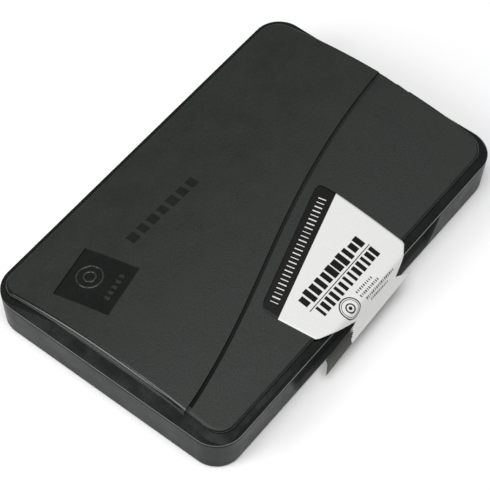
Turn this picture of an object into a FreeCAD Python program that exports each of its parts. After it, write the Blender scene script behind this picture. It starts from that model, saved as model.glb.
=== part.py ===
"""Hinged desk ink pad: a shallow moulded case with a crowned lid over a cloth-covered felt pad.

Frame: millimetres. X runs along the long side, -Y is the front with the thumb scoop,
+Y is the hinge side, +Z is up. The origin is the centre of the face that the case rests on.
"""

import FreeCAD, Part
import math
import os

V = FreeCAD.Vector
X_AXIS = V(1, 0, 0)
Z_AXIS = V(0, 0, 1)

# Case outline
CASE_LENGTH = 130.0
CASE_DEPTH = 82.5
CASE_CORNER_R = 8.5
RIM_HEIGHT = 12.6          # top of the base wall, where the lid parts from it
WALL = 1.8
BASE_DRAFT = 0.7           # how much smaller the outline is at the bottom
BASE_FOOT_R = 0.9          # rounding where the wall meets the underside
RIM_EDGE_R = 0.45          # rounding of the rim's outer edge
RIM_STEP = 1.8             # how far the deck lies below the rim

# Ink pad, trade size 2 3/4 x 4 1/4 inch
PAD_LENGTH = 107.95
PAD_WIDTH = 69.85
PAD_CORNER_R = 3.0
PAD_PROUD = 1.4            # cloth surface above the deck
WELL_CLEARANCE = 0.6       # between the pad and the well on each side
FLOOR = 2.0
BOARD_THICKNESS = 1.0
RESERVOIR_THICKNESS = 5.4
CLOTH_THICKNESS = 0.35
CLOTH_FLANGE = 1.3         # cloth edge held under the frame

# Retaining frame round the pad
FRAME_LENGTH = 119.0
FRAME_WIDTH = 74.0
FRAME_THICKNESS = 0.8
FRAME_CORNER_R = 4.5
FRAME_CLEARANCE = 0.3      # frame opening to pad

# Thumb scoop in the front wall
SCOOP_LENGTH = 71.0
SCOOP_DEPTH = 2.6
SCOOP_FOOT = 0.9           # height at which the scoop runs out
SCOOP_END_R = 9.0
SCOOP_WALL = 1.5

# Lid
PARTING_GAP = 0.15
LIP_HEIGHT = 0.8           # upright edge above the rim
CROWN_HEIGHT = 6.3         # top of the lid above the rim
CROWN_SAG = 5.24           # how much lower the crown's arc is half a case depth away
CROWN_Y = -2.0             # where the crown is highest
BAND_LEAN = 4.2            # how far the sloping band leans in at the crown's height
PANELS_LEFT = 3.2          # raised panels in from the case outline at the left end
PANELS_RIGHT = 2.4
PANELS_FRONT = 2.6
PANELS_REAR = 0.9
PANELS_CORNER_R = 6.0
PANELS_EDGE_R = 1.15
LEDGE_DROP = 1.0           # ledge round the raised panels, below their edge
LID_WALL = 1.6
PANEL_STEP = 0.4           # the rear panel stands this much above the front panel
PANEL_OUT = 0.6            # and this much further out at the left end
GROOVE_WIDTH = 1.1         # groove at the foot of that step
GROOVE_DEPTH = 0.6
SEAL_RIB = 1.2             # rib that closes down on the frame
SEAL_RIB_INSET = 0.35      # from the frame's outer edge to the rib
SEAL_GAP = 0.15
TONGUE_X = 48.0            # friction tongues beside the scoop
TONGUE_WIDTH = 6.0
TONGUE_THICKNESS = 1.1
TONGUE_REACH = 2.0         # below the deck
TONGUE_CLEARANCE = 0.35

# Emblem recess in the rear panel
EMBLEM_SIDE = 17.5
EMBLEM_X = -45.6
EMBLEM_Y = 18.1
EMBLEM_TURN = 10.5
EMBLEM_DEPTH = 0.3

# Hinge
HINGE_X = 38.0             # middle of each hinge, left and right
HINGE_INSET = 0.9          # axis in front of the rear face
HINGE_COVER = 0.1          # from the knuckles up to the rim
KNUCKLE_R = 1.9
KNUCKLE_WIDTH = 5.0
KNUCKLE_GAP = 0.3
PIN_R = 0.8
PIN_CLEARANCE = 0.06
NOTCH_CLEARANCE = 0.3

# Paper label
LABEL_THICKNESS = 0.2
LABEL_LIFT = 0.04
LABEL_LEFT = -24.0
LABEL_RIGHT = 19.3
LABEL_REAR_LEFT_Y = -22.2
LABEL_REAR_RIGHT_Y = -10.0
LABEL_NECK_WIDTH = 18.3
LABEL_NECK_X = 1.9
LABEL_NECK_Z = 10.4
LABEL_NECK_OUT = 1.7       # the neck stands this far in front of the case
LABEL_FOOT_Z = 6.0
LABEL_FOOT_OUT = 3.8       # and the free end this far
LABEL_WING_DROP = 1.0      # the free end's corners start this much below the neck
LABEL_STAND_OFF = 0.4      # clear of the lid's lip

# Worked out from the sizes above
LID_BASE_Z = RIM_HEIGHT + PARTING_GAP
LIP_TOP_Z = RIM_HEIGHT + LIP_HEIGHT
DECK_Z = RIM_HEIGHT - RIM_STEP
PAD_TOP_Z = DECK_Z + PAD_PROUD
FRAME_Z = DECK_Z + CLOTH_THICKNESS
FRAME_TOP_Z = FRAME_Z + FRAME_THICKNESS
HINGE_Y = CASE_DEPTH / 2 - HINGE_INSET
HINGE_Z = RIM_HEIGHT - HINGE_COVER - KNUCKLE_R
CROWN_RADIUS = ((CASE_DEPTH / 2) ** 2 + CROWN_SAG ** 2) / (2 * CROWN_SAG)
FRONT_Y = -CASE_DEPTH / 2


def rounded_wire(length, width, radius, z):
    """A rounded rectangle about the Z axis at height z."""
    hx, hy, r = length / 2, width / 2, radius
    k = r * (1 - math.sqrt(0.5))
    points = [
        (V(-hx + r, -hy, z), V(hx - r, -hy, z), V(hx - k, -hy + k, z)),
        (V(hx, -hy + r, z), V(hx, hy - r, z), V(hx - k, hy - k, z)),
        (V(hx - r, hy, z), V(-hx + r, hy, z), V(-hx + k, hy - k, z)),
        (V(-hx, hy - r, z), V(-hx, -hy + r, z), V(-hx + k, -hy + k, z)),
    ]
    edges = []
    for i, (start, end, corner) in enumerate(points):
        following = points[(i + 1) % 4][0]
        edges.append(Part.LineSegment(start, end).toShape())
        edges.append(Part.Arc(end, corner, following).toShape())
    return Part.Wire(edges)


def rounded_block(length, width, radius, z0, z1):
    """An upright block with rounded corners between two heights."""
    face = Part.Face(rounded_wire(length, width, radius, z0))
    return face.extrude(V(0, 0, z1 - z0))


def tapered_block(size0, size1, z0, z1):
    """A block whose outline goes from size0 = (length, width, radius) at z0 to size1 at z1."""
    wires = [rounded_wire(*size0, z0), rounded_wire(*size1, z1)]
    return Part.makeLoft(wires, True, True)


def box(x0, x1, y0, y1, z0, z1):
    """An axis-aligned box from its limits."""
    return Part.makeBox(x1 - x0, y1 - y0, z1 - z0, V(x0, y0, z0))


def bar(x0, x1, radius):
    """A round bar on the hinge axis between two X positions."""
    return Part.makeCylinder(radius, x1 - x0, V(x0, HINGE_Y, HINGE_Z), X_AXIS)


def crown_z(y, height=CROWN_HEIGHT):
    """Height of the crowned top at y."""
    drop = CROWN_RADIUS - math.sqrt(CROWN_RADIUS ** 2 - (y - CROWN_Y) ** 2)
    return RIM_HEIGHT + height - drop


def under_crown(height, shrink=0.0):
    """Everything below the crowned surface, moved down by shrink."""
    radius = CROWN_RADIUS - shrink
    centre_z = RIM_HEIGHT + height - CROWN_RADIUS
    start = V(-CASE_LENGTH, CROWN_Y, centre_z)
    return Part.makeCylinder(radius, 2 * CASE_LENGTH, start, X_AXIS)


def hinge_spans():
    """X limits of (outer knuckle, lid knuckle, inner knuckle) for the left and right hinge."""
    spans = []
    for side in (-1, 1):
        middle = side * HINGE_X
        half = KNUCKLE_WIDTH / 2
        pitch = KNUCKLE_WIDTH + KNUCKLE_GAP
        spans.append([(middle + k * pitch - half, middle + k * pitch + half) for k in (-1, 0, 1)])
    return spans


def scoop_tool():
    """The leaning block that hollows the front wall for a thumb."""
    rise = RIM_HEIGHT - SCOOP_FOOT
    foot_inset = BASE_DRAFT * rise / RIM_HEIGHT
    lean = math.degrees(math.atan((SCOOP_DEPTH - foot_inset) / rise))
    spread = SCOOP_END_R - math.sqrt(SCOOP_END_R ** 2 - (SCOOP_END_R - SCOOP_DEPTH) ** 2)
    width = SCOOP_LENGTH + 2 * spread
    depth = 3 * SCOOP_END_R
    block = rounded_block(width, depth, SCOOP_END_R, 0, 2 * RIM_HEIGHT)
    block.translate(V(0, -depth / 2, 0))
    block.rotate(V(0, 0, 0), X_AXIS, -lean)
    block.translate(V(0, FRONT_Y + foot_inset, SCOOP_FOOT))
    return block


def base_tray():
    """Lower case: drafted wall, stepped rim, well for the pad, scoop and hinge knuckles."""
    small = (CASE_LENGTH - 2 * BASE_DRAFT, CASE_DEPTH - 2 * BASE_DRAFT, CASE_CORNER_R - BASE_DRAFT)
    full = (CASE_LENGTH, CASE_DEPTH, CASE_CORNER_R)
    body = tapered_block(small, full, 0, RIM_HEIGHT)
    foot = [e for e in body.Edges if e.BoundBox.ZMax < 0.01]
    rim = [e for e in body.Edges if e.BoundBox.ZMin > RIM_HEIGHT - 0.01]
    body = body.makeFillet(BASE_FOOT_R, foot)
    rim = [e for e in body.Edges if e.BoundBox.ZMin > RIM_HEIGHT - 0.01]
    body = body.makeFillet(RIM_EDGE_R, rim)

    inside = rounded_block(
        CASE_LENGTH - 2 * WALL, CASE_DEPTH - 2 * WALL, CASE_CORNER_R - WALL, DECK_Z, RIM_HEIGHT + 1
    )
    # behind the scoop the rim wall follows the scoop inwards
    behind = scoop_tool()
    behind.translate(V(0, SCOOP_WALL, 0))
    body = body.cut(inside.cut(behind))
    body = body.cut(scoop_tool())

    well_length = PAD_LENGTH + 2 * WELL_CLEARANCE
    well_width = PAD_WIDTH + 2 * WELL_CLEARANCE
    body = body.cut(rounded_block(well_length, well_width, PAD_CORNER_R, FLOOR, RIM_HEIGHT))

    # cored-out pockets under the thick ends and behind the well
    end_wall = (CASE_LENGTH - well_length) / 2
    core_depth = DECK_Z - WALL
    core_width = end_wall - 2 * WALL - BASE_DRAFT
    core_x = well_length / 2 + WALL
    span = 2 * (CASE_DEPTH / 2 - CASE_CORNER_R) / 3
    for side in (-1, 1):
        for cell in (-1, 0, 1):
            x0, x1 = sorted((side * core_x, side * (core_x + core_width)))
            y0 = cell * span - (span - WALL) / 2
            body = body.cut(box(x0, x1, y0, y0 + span - WALL, -1, core_depth))

    # room for the friction tongues
    for side in (-1, 1):
        half = TONGUE_WIDTH / 2 + TONGUE_CLEARANCE
        y0 = FRONT_Y + WALL
        depth = TONGUE_THICKNESS + 2 * TONGUE_CLEARANCE
        z0 = DECK_Z - TONGUE_REACH - TONGUE_CLEARANCE
        x = side * TONGUE_X
        body = body.cut(box(x - half, x + half, y0, y0 + depth, z0, RIM_HEIGHT + 1))

    # hinge: knuckles on the rear wall, with a notch for each lid knuckle
    room = KNUCKLE_R + NOTCH_CLEARANCE
    for outer, middle, inner in hinge_spans():
        for x0, x1 in (outer, inner):
            body = body.fuse(bar(x0, x1, KNUCKLE_R))
        x0, x1 = middle[0] - KNUCKLE_GAP, middle[1] + KNUCKLE_GAP
        notch = box(x0, x1, HINGE_Y, CASE_DEPTH, HINGE_Z - room, RIM_HEIGHT + 1)
        notch = notch.fuse(bar(x0, x1, room))
        notch = notch.fuse(box(x0, x1, HINGE_Y - room, HINGE_Y, HINGE_Z, RIM_HEIGHT + 1))
        body = body.cut(notch)
        body = body.cut(bar(outer[0] - 0.01, inner[1] + 0.01, PIN_R))
    return body.removeSplitter()


def backing_board():
    """Stiff board on the floor of the well."""
    z0 = FLOOR
    return rounded_block(PAD_LENGTH, PAD_WIDTH, PAD_CORNER_R, z0, z0 + BOARD_THICKNESS)


def reservoir_felt():
    """Thick lower felt that stores the ink."""
    z0 = FLOOR + BOARD_THICKNESS
    side = 2 * CLOTH_THICKNESS
    return rounded_block(
        PAD_LENGTH - side, PAD_WIDTH - side, PAD_CORNER_R - CLOTH_THICKNESS, z0, z0 + RESERVOIR_THICKNESS
    )


def surface_felt():
    """Finer upper felt that feeds the cloth."""
    z0 = FLOOR + BOARD_THICKNESS + RESERVOIR_THICKNESS
    side = 2 * CLOTH_THICKNESS
    return rounded_block(
        PAD_LENGTH - side, PAD_WIDTH - side, PAD_CORNER_R - CLOTH_THICKNESS, z0, PAD_TOP_Z - CLOTH_THICKNESS
    )


def pad_cloth():
    """Woven cloth stretched over the felt, with a flange held under the frame."""
    flange = rounded_block(
        PAD_LENGTH + 2 * CLOTH_FLANGE, PAD_WIDTH + 2 * CLOTH_FLANGE,
        PAD_CORNER_R + CLOTH_FLANGE, DECK_Z, DECK_Z + CLOTH_THICKNESS,
    )
    cap = rounded_block(PAD_LENGTH, PAD_WIDTH, PAD_CORNER_R, DECK_Z, PAD_TOP_Z)
    side = 2 * CLOTH_THICKNESS
    felt = rounded_block(
        PAD_LENGTH - side, PAD_WIDTH - side, PAD_CORNER_R - CLOTH_THICKNESS,
        DECK_Z - 1, PAD_TOP_Z - CLOTH_THICKNESS,
    )
    return flange.fuse(cap).cut(felt).removeSplitter()


def retaining_frame():
    """Flat frame on the deck that clamps the cloth's edge."""
    outer = rounded_block(FRAME_LENGTH, FRAME_WIDTH, FRAME_CORNER_R, FRAME_Z, FRAME_TOP_Z)
    gap = 2 * FRAME_CLEARANCE
    opening = rounded_block(
        PAD_LENGTH + gap, PAD_WIDTH + gap, PAD_CORNER_R + FRAME_CLEARANCE, FRAME_Z - 1, FRAME_TOP_Z + 1
    )
    # a foot at each end reaches down to the deck outside the cloth's flange
    foot_length = (FRAME_LENGTH - PAD_LENGTH) / 2 - CLOTH_FLANGE - WALL
    frame = outer.cut(opening)
    for side in (-1, 1):
        outer_x = side * (FRAME_LENGTH / 2 - WALL / 2)
        x0, x1 = sorted((outer_x, outer_x - side * foot_length))
        frame = frame.fuse(box(x0, x1, -PAD_WIDTH / 3, PAD_WIDTH / 3, DECK_Z, FRAME_Z + 0.1))
    return frame.removeSplitter()


def hinge_pin(side):
    """Steel pin of one hinge, from end to end of its knuckles."""
    outer, _, inner = hinge_spans()[0 if side < 0 else 1]
    return bar(outer[0], inner[1], PIN_R)


def lid_band(inset=0.0):
    """The lid's outline: an upright lip, then a band that leans in up to the crown's height."""
    lean = BAND_LEAN
    full = (CASE_LENGTH - 2 * inset, CASE_DEPTH - 2 * inset, CASE_CORNER_R - inset)
    small = (full[0] - 2 * lean, full[1] - 2 * lean, full[2] - lean)
    lip = rounded_block(*full, LID_BASE_Z, LIP_TOP_Z)
    return lip.fuse(tapered_block(full, small, LIP_TOP_Z, RIM_HEIGHT + CROWN_HEIGHT))


def plateau(out=0.0, inset=0.0):
    """Upright block with the outline of the raised panels, out at the left end or inset all round."""
    x0 = -CASE_LENGTH / 2 + PANELS_LEFT - out + inset
    x1 = CASE_LENGTH / 2 - PANELS_RIGHT - inset
    y0 = -CASE_DEPTH / 2 + PANELS_FRONT + inset
    y1 = CASE_DEPTH / 2 - PANELS_REAR - inset
    radius = PANELS_CORNER_R - inset
    block = rounded_block(x1 - x0, y1 - y0, radius, DECK_Z, LID_BASE_Z + 2 * CROWN_HEIGHT)
    block.translate(V((x0 + x1) / 2, (y0 + y1) / 2, 0))
    return block


def raised_panel(height, out):
    """One crowned panel with its upper edge rounded, from the parting line up."""
    block = plateau(out).common(under_crown(height))
    edges = []
    for e in block.Edges:
        middle = e.valueAt((e.FirstParameter + e.LastParameter) / 2)
        if abs(middle.z - crown_z(middle.y, height)) < 0.01:
            edges.append(e)
    half = CASE_LENGTH / 2
    above = box(-half, half, -half, half, LID_BASE_Z, LID_BASE_Z + 2 * CROWN_HEIGHT)
    return block.makeFillet(PANELS_EDGE_R, edges).common(above)


def step_groove():
    """The narrow groove that follows the foot of the step between the panels."""
    region = rear_region()
    strip = region.copy()
    strip.translate(V(0, -GROOVE_WIDTH, 0))
    return strip.cut(region).cut(under_crown(CROWN_HEIGHT, GROOVE_DEPTH)).common(plateau())


def swoosh_edge():
    """The S-shaped line, seen from above, where the rear panel steps down to the front panel."""
    end = CASE_LENGTH / 2
    points = [V(-end - 3, -27.0, 0), V(-50, -24.4, 0), V(-24.8, -18.1, 0), V(2, -10.0, 0),
              V(38, -2.0, 0), V(end + 3, 0.7, 0)]
    curve = Part.BSplineCurve()
    curve.interpolate(points)
    return curve.toShape(), points


def rear_region():
    """Everything behind the swoosh line."""
    edge, points = swoosh_edge()
    back = CASE_DEPTH
    corner_r, corner_l = V(points[-1].x, back, 0), V(points[0].x, back, 0)
    sides = [
        Part.LineSegment(points[-1], corner_r).toShape(),
        Part.LineSegment(corner_r, corner_l).toShape(),
        Part.LineSegment(corner_l, points[0]).toShape(),
    ]
    face = Part.Face(Part.Wire([edge] + sides))
    return face.extrude(V(0, 0, 3 * RIM_HEIGHT))


def emblem_block():
    """The tilted square that is sunk into the rear panel."""
    half = EMBLEM_SIDE / 2
    block = box(-half, half, -half, half, 0, 3 * RIM_HEIGHT)
    block.rotate(V(0, 0, 0), Z_AXIS, EMBLEM_TURN)
    block.translate(V(EMBLEM_X, EMBLEM_Y, 0))
    return block.cut(under_crown(CROWN_HEIGHT + PANEL_STEP, EMBLEM_DEPTH))


def lid():
    """Crowned cover with two stepped panels, a sealing rib, tongues and hinge knuckles."""
    lip = rounded_block(CASE_LENGTH, CASE_DEPTH, CASE_CORNER_R, LID_BASE_Z, LIP_TOP_Z)
    shell = lid_band().common(under_crown(CROWN_HEIGHT, LEDGE_DROP)).fuse(lip)
    shell = shell.fuse(raised_panel(CROWN_HEIGHT, 0.0))
    shell = shell.fuse(raised_panel(CROWN_HEIGHT + PANEL_STEP, PANEL_OUT).common(rear_region()))
    shell = shell.cut(emblem_block()).cut(step_groove())
    shell = shell.cut(lid_band(LID_WALL).common(under_crown(CROWN_HEIGHT, LEDGE_DROP + LID_WALL)))
    shell = shell.cut(plateau(inset=LID_WALL).common(under_crown(CROWN_HEIGHT, LID_WALL)))

    # rib that closes down on the retaining frame
    size = (FRAME_LENGTH - 2 * SEAL_RIB_INSET, FRAME_WIDTH - 2 * SEAL_RIB_INSET)
    radius = FRAME_CORNER_R - SEAL_RIB_INSET
    z0 = FRAME_TOP_Z + SEAL_GAP
    z1 = RIM_HEIGHT + CROWN_HEIGHT
    rib = rounded_block(*size, radius, z0, z1)
    core = rounded_block(
        size[0] - 2 * SEAL_RIB, size[1] - 2 * SEAL_RIB, radius - SEAL_RIB, z0 - 1, z1 + 1
    )
    shell = shell.fuse(rib.cut(core).common(under_crown(CROWN_HEIGHT, LID_WALL / 2)))

    for side in (-1, 1):
        x = side * TONGUE_X
        y0 = FRONT_Y + WALL + TONGUE_CLEARANCE
        half = TONGUE_WIDTH / 2
        tongue = box(x - half, x + half, y0, y0 + TONGUE_THICKNESS, DECK_Z - TONGUE_REACH, LIP_TOP_Z)
        shell = shell.fuse(tongue)

    for _, (x0, x1), _ in hinge_spans():
        x0, x1 = x0 + KNUCKLE_GAP / 2, x1 - KNUCKLE_GAP / 2
        arm = box(x0, x1, CASE_DEPTH / 2 - WALL, CASE_DEPTH / 2, HINGE_Z, LIP_TOP_Z)
        shell = shell.fuse(bar(x0, x1, KNUCKLE_R)).fuse(arm)
        shell = shell.cut(bar(x0 - 1, x1 + 1, PIN_R + PIN_CLEARANCE))
    return shell.removeSplitter()


def label():
    """Paper label stuck on the lid, folded over its front edge, with a narrow neck and a free end."""
    t = LABEL_THICKNESS
    lift = LABEL_LIFT
    # side view of the sheet's lower face, from the rear end to the free end
    edge_y = FRONT_Y + PANELS_FRONT
    rear_y = max(LABEL_REAR_LEFT_Y, LABEL_REAR_RIGHT_Y)
    low = [V(0, y, crown_z(y) + lift) for y in (rear_y, (rear_y + edge_y) / 2, edge_y)]
    high = [V(0, p.y, p.z + t) for p in low]
    lip_y = FRONT_Y - LABEL_STAND_OFF
    foot_y = FRONT_Y - LABEL_FOOT_OUT
    turn = V(0, lip_y, LIP_TOP_Z + 3 * t)
    bend = V(0, FRONT_Y - LABEL_NECK_OUT, LABEL_NECK_Z)
    foot = V(0, foot_y, LABEL_FOOT_Z)
    out = V(0, -t, 0)
    edges = [
        Part.Arc(*low).toShape(),
        Part.LineSegment(low[2], turn).toShape(),
        Part.LineSegment(turn, bend).toShape(),
        Part.LineSegment(bend, foot).toShape(),
        Part.LineSegment(foot, foot + out).toShape(),
        Part.LineSegment(foot + out, bend + out).toShape(),
        Part.LineSegment(bend + out, turn + out).toShape(),
        Part.LineSegment(turn + out, high[2]).toShape(),
        Part.Arc(high[2], high[1], high[0]).toShape(),
        Part.LineSegment(high[0], low[0]).toShape(),
    ]
    face = Part.Face(Part.Wire(edges))
    face.translate(V(LABEL_LEFT, 0, 0))
    sheet = face.extrude(V(LABEL_RIGHT - LABEL_LEFT, 0, 0))

    # slanting rear edge
    cut = [
        V(LABEL_LEFT - 1, LABEL_REAR_LEFT_Y, 0), V(LABEL_RIGHT + 1, LABEL_REAR_RIGHT_Y, 0),
        V(LABEL_RIGHT + 1, 0, 0), V(LABEL_LEFT - 1, 0, 0), V(LABEL_LEFT - 1, LABEL_REAR_LEFT_Y, 0),
    ]
    sheet = sheet.cut(Part.Face(Part.makePolygon(cut)).extrude(V(0, 0, 3 * RIM_HEIGHT)))

    # the two notches that leave the narrow neck
    half = LABEL_NECK_WIDTH / 2
    for side, limit in ((-1, LABEL_LEFT), (1, LABEL_RIGHT)):
        x_out = limit + side
        notch = [
            V(LABEL_NECK_X + side * half, foot_y - 2, LABEL_NECK_Z),
            V(x_out, foot_y - 2, LIP_TOP_Z + 0.4),
            V(x_out, foot_y - 2, LABEL_NECK_Z - LABEL_WING_DROP),
            V(LABEL_NECK_X + side * half, foot_y - 2, LABEL_NECK_Z),
        ]
        wedge = Part.Face(Part.makePolygon(notch)).extrude(V(0, lip_y - foot_y + 2.4, 0))
        sheet = sheet.cut(wedge)
    return sheet.removeSplitter()


def main():
    """Builds every node and writes one STEP file for each."""
    os.makedirs("parts", exist_ok=True)
    nodes = {
        "base_tray": base_tray(),
        "backing_board": backing_board(),
        "reservoir_felt": reservoir_felt(),
        "surface_felt": surface_felt(),
        "pad_cloth": pad_cloth(),
        "retaining_frame": retaining_frame(),
        "hinge_pin_left": hinge_pin(-1),
        "hinge_pin_right": hinge_pin(1),
        "lid": lid(),
        "label": label(),
    }
    for name, shape in nodes.items():
        b = shape.BoundBox
        print(f"{name}: solids {len(shape.Solids)} valid {shape.isValid()} volume {shape.Volume:.1f} "
              f"x {b.XMin:.2f}..{b.XMax:.2f} y {b.YMin:.2f}..{b.YMax:.2f} z {b.ZMin:.2f}..{b.ZMax:.2f}")
        shape.exportStep(f"parts/{name}.step")


main()
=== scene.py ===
"""Looks of a hinged desk ink pad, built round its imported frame.

Lengths are metres in the frame's own axes: X runs along the long side, -Y is the front with the
thumb scoop, +Z is up. Sizes written in millimetres are multiplied by MM where they are used.
"""

from __future__ import annotations

import logging
import math
from dataclasses import dataclass
from enum import Enum
from typing import Any, Callable, Iterable, Sequence

import bpy  # noqa: E402
from mathutils import Matrix, Vector  # noqa: E402

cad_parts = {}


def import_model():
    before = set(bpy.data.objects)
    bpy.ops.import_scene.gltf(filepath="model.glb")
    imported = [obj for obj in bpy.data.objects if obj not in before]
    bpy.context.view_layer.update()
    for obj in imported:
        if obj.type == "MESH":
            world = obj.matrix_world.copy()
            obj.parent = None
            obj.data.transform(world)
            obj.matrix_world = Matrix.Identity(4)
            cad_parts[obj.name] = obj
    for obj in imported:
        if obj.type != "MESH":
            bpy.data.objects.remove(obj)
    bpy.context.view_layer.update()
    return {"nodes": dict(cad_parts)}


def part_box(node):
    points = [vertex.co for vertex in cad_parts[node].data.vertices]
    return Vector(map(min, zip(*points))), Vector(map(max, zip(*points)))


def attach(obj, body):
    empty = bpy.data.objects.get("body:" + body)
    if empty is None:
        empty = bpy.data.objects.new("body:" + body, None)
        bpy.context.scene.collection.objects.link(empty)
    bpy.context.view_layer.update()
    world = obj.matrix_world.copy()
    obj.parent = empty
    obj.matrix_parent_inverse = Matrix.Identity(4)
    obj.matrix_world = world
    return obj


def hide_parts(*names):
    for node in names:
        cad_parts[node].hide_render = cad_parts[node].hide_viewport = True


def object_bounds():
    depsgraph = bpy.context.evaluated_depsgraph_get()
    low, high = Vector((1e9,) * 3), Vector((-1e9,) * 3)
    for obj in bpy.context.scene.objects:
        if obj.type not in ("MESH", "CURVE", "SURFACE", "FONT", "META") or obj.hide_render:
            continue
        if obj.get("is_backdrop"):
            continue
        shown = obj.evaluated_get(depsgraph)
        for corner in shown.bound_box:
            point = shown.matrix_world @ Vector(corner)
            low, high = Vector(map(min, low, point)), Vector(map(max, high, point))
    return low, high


LOG = logging.getLogger("ink_pad")
MM = 0.001

Flat = tuple[float, float]
Mask = Callable[[bpy.types.NodeTree, bpy.types.NodeSocket], bpy.types.NodeSocket]


class Body(Enum):
    """The rigid bodies of the object."""

    BASE = "base"
    LID = "lid"


class Weave(Enum):
    """How a fabric's surface is made."""

    PLAIN = "plain"
    FELTED = "felted"


# ---------------------------------------------------------------- helpers


def linear(colour: str) -> tuple[float, float, float, float]:
    """Turns an sRGB hex colour into linear red, green, blue and alpha.

    Args:
        colour: six hex digits, such as "1d1e1c".

    Returns:
        The linear colour, opaque.
    """
    parts = [int(colour[i : i + 2], 16) / 255 for i in (0, 2, 4)]
    out = [c / 12.92 if c <= 0.04045 else ((c + 0.055) / 1.055) ** 2.4 for c in parts]
    return (out[0], out[1], out[2], 1.0)


def add_node(
    tree: bpy.types.NodeTree,
    kind: str,
    values: dict[Any, Any] | None = None,
    links: dict[Any, Any] | None = None,
    **settings: Any,
) -> bpy.types.Node:
    """Adds a node with its settings, socket values and incoming links.

    Args:
        tree: the node tree that gets the node.
        kind: the node's type name.
        values: input socket to its value.
        links: input socket to the output socket that feeds it.
        **settings: the node's own properties.

    Returns:
        The new node.
    """
    node = tree.nodes.new(kind)
    for key, value in settings.items():
        setattr(node, key, value)
    for socket, value in (values or {}).items():
        node.inputs[socket].default_value = value
    for socket, source in (links or {}).items():
        tree.links.new(source, node.inputs[socket])
    return node


def remap(
    tree: bpy.types.NodeTree, value: bpy.types.NodeSocket, start: float, end: float,
    low: float = 0.0, high: float = 1.0,
) -> bpy.types.NodeSocket:
    """Stretches a value from start..end to low..high and holds it at both ends.

    Args:
        tree: the node tree.
        value: the value to stretch.
        start: the value that becomes low.
        end: the value that becomes high.
        low: the result at start.
        high: the result at end.

    Returns:
        The result's output socket.
    """
    return add_node(tree, "ShaderNodeMapRange", {1: start, 2: end, 3: low, 4: high}, {0: value}).outputs[0]


def maths(
    tree: bpy.types.NodeTree, operation: str, *values: bpy.types.NodeSocket | float, clamp: bool = False
) -> bpy.types.NodeSocket:
    """Adds one sum.

    Args:
        tree: the node tree.
        operation: the sum's name.
        *values: what goes in, in order, as sockets or fixed numbers.
        clamp: whether the result is held between 0 and 1.

    Returns:
        The result's output socket.
    """
    node = add_node(tree, "ShaderNodeMath", operation=operation, use_clamp=clamp)
    for socket, value in zip(node.inputs, values):
        if isinstance(value, float):
            socket.default_value = value
        else:
            tree.links.new(value, socket)
    return node.outputs[0]


def product(tree: bpy.types.NodeTree, *values: bpy.types.NodeSocket) -> bpy.types.NodeSocket:
    """Multiplies two or more values and gives the result's output socket."""
    result = values[0]
    for value in values[1:]:
        result = maths(tree, "MULTIPLY", result, value)
    return result


def scaled(
    tree: bpy.types.NodeTree, colour: bpy.types.NodeSocket, factor: bpy.types.NodeSocket
) -> bpy.types.NodeSocket:
    """Makes a colour lighter or darker by a factor and gives the result's output socket."""
    return add_node(tree, "ShaderNodeVectorMath", links={0: colour, "Scale": factor}, operation="SCALE").outputs[0]


def noise(
    tree: bpy.types.NodeTree, coords: bpy.types.NodeSocket, pitch: float, detail: float, roughness: float,
    distortion: float = 0.0,
) -> bpy.types.NodeSocket:
    """Adds a noise texture.

    Args:
        tree: the node tree.
        coords: Object coordinates.
        pitch: size of the largest features, in mm.
        detail: number of finer layers.
        roughness: strength of the finer layers.
        distortion: how much the features are pulled about.

    Returns:
        The noise value's output socket.
    """
    values = {"Scale": 1 / (pitch * MM), "Detail": detail, "Roughness": roughness, "Distortion": distortion}
    return add_node(tree, "ShaderNodeTexNoise", values, {"Vector": coords}).outputs[0]


def mixed(
    tree: bpy.types.NodeTree, first: str, second: str, factor: bpy.types.NodeSocket | float
) -> bpy.types.NodeSocket:
    """Mixes two sRGB hex colours.

    Args:
        tree: the node tree.
        first: the colour at factor 0.
        second: the colour at factor 1.
        factor: a socket or a fixed share of the second colour.

    Returns:
        The colour's output socket.
    """
    node = add_node(tree, "ShaderNodeMix", data_type="RGBA")
    node.inputs["A"].default_value = linear(first)
    node.inputs["B"].default_value = linear(second)
    if isinstance(factor, float):
        node.inputs["Factor"].default_value = factor
    else:
        tree.links.new(factor, node.inputs["Factor"])
    return node.outputs["Result"]


def bump(
    tree: bpy.types.NodeTree, height: bpy.types.NodeSocket, strength: float | bpy.types.NodeSocket, depth: float,
    normal: bpy.types.NodeSocket | None = None,
) -> bpy.types.NodeSocket:
    """Adds surface relief.

    Args:
        tree: the node tree.
        height: the relief's pattern.
        strength: a fixed strength or a socket.
        depth: the relief's depth, in mm.
        normal: an earlier relief to add to.

    Returns:
        The normal's output socket.
    """
    node = add_node(tree, "ShaderNodeBump", {"Distance": depth * MM}, {"Height": height})
    if isinstance(strength, float):
        node.inputs["Strength"].default_value = strength
    else:
        tree.links.new(strength, node.inputs["Strength"])
    if normal is not None:
        tree.links.new(normal, node.inputs["Normal"])
    return node.outputs[0]


def new_material(name: str, **sockets: Any) -> tuple[bpy.types.Material, bpy.types.NodeTree, bpy.types.Node]:
    """Makes a material whose Principled shader has its plain values set.

    Args:
        name: the material's name.
        **sockets: Principled input names, with underscores for spaces, to their values.

    Returns:
        The material, its node tree and its Principled node.
    """
    material = bpy.data.materials.new(name)
    material.use_nodes = True
    tree = material.node_tree
    shader = next(n for n in tree.nodes if n.type == "BSDF_PRINCIPLED")
    for key, value in sockets.items():
        shader.inputs[key.replace("_", " ")].default_value = value
    return material, tree, shader


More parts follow.
